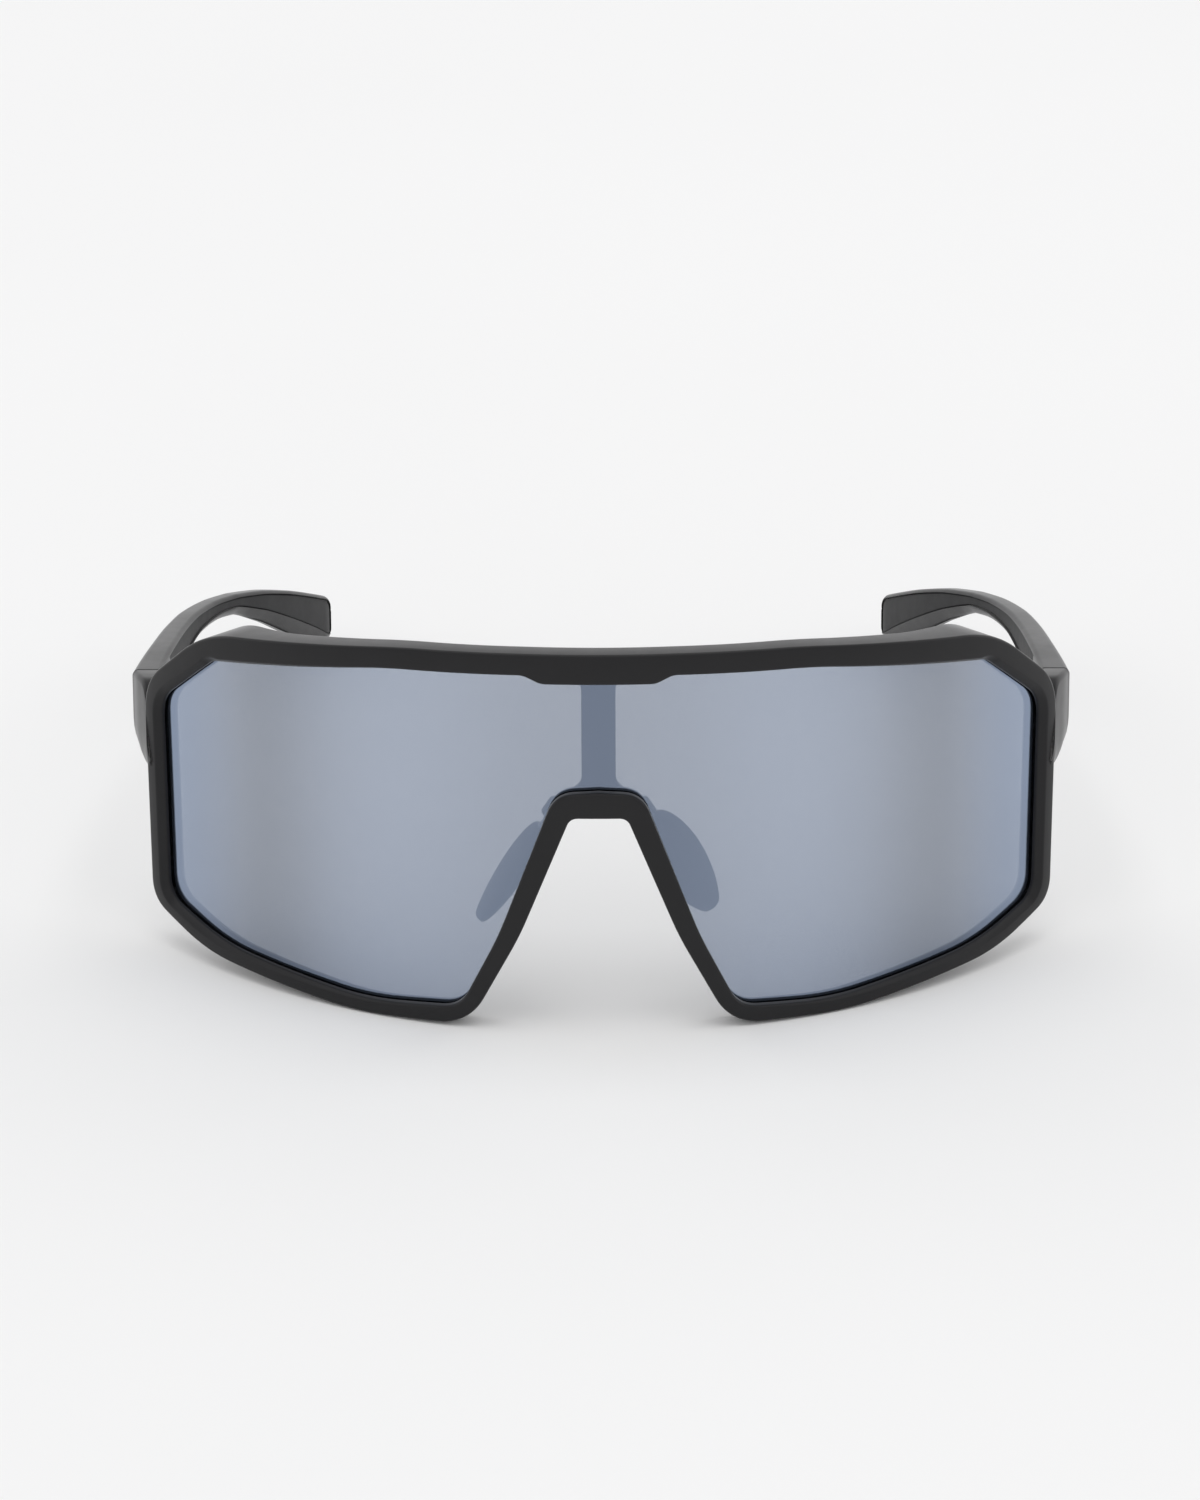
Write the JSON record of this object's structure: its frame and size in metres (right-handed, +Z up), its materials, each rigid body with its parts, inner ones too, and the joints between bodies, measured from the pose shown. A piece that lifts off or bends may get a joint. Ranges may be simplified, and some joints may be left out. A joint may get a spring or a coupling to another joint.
{
  "type": "wraparound shield sunglasses",
  "caption": "Full-rim wraparound sport sunglasses with a one-piece cylindrical mirrored shield lens, a turning-pad nosepiece and folding temples with soft inner grips.",
  "frame": {"origin": "on the table under the middle of the bounding box, with the glasses standing open on their lower rims and temple tips", "axes": "+X towards the wearer's left, +Y from the lens back towards the ears, +Z up"},
  "size_m": [0.1478, 0.1488, 0.0601],
  "materials": {
    "satin_black": "satin moulded nylon, fine grain",
    "mirror_lens": "grey-blue part-mirrored polycarbonate",
    "soft_grip": "matt soft-touch rubber",
    "silicone_pad": "matt silicone",
    "hinge_steel": "blackened steel",
    "screw_steel": "bright turned steel",
    "wire_steel": "drawn steel wire"
  },
  "bodies": {
    "front": {"front_frame": "satin_black", "shield_lens": "mirror_lens", "nose_carrier": "satin_black", "carrier_screw_upper": "screw_steel", "carrier_screw_lower": "screw_steel", "nose_wire_left": "wire_steel", "nose_wire_right": "wire_steel", "front_leaf_left": "hinge_steel", "front_leaf_right": "hinge_steel", "hinge_screw_left": "screw_steel", "hinge_screw_right": "screw_steel", "front_leaf_screw_1_left": "screw_steel", "front_leaf_screw_1_right": "screw_steel", "front_leaf_screw_2_left": "screw_steel", "front_leaf_screw_2_right": "screw_steel"},
    "temple_left_body": {"temple_left": "satin_black", "temple_grip_left": "soft_grip", "temple_leaf_left": "hinge_steel", "temple_leaf_screw_1_left": "screw_steel", "temple_leaf_screw_2_left": "screw_steel"},
    "temple_right_body": {"temple_right": "satin_black", "temple_grip_right": "soft_grip", "temple_leaf_right": "hinge_steel", "temple_leaf_screw_1_right": "screw_steel", "temple_leaf_screw_2_right": "screw_steel"},
    "nose_pad_left_body": {"nose_pad_left": "silicone_pad"},
    "nose_pad_right_body": {"nose_pad_right": "silicone_pad"}
  },
  "joints": [
    {"name": "temple_fold_left", "type": "hinge", "parent": "front", "child": "temple_left_body", "pos_m": [0.0689, -0.03261, 0.03429], "axis": [0, 0.2198, 0.9755], "range_deg": [0, 92]},
    {"name": "temple_fold_right", "type": "hinge", "parent": "front", "child": "temple_right_body", "pos_m": [-0.0689, -0.03261, 0.03429], "axis": [0, -0.2198, -0.9755], "range_deg": [0, 78]},
    {"name": "nose_pad_turn_left", "type": "hinge", "parent": "front", "child": "nose_pad_left_body", "pos_m": [0.0075, -0.06536, 0.03158], "axis": [0.5095, 0.1055, -0.8539], "range_deg": [-12, 12]},
    {"name": "nose_pad_turn_right", "type": "hinge", "parent": "front", "child": "nose_pad_right_body", "pos_m": [-0.0075, -0.06536, 0.03158], "axis": [-0.5095, 0.1055, -0.8539], "range_deg": [-12, 12]}
  ]
}
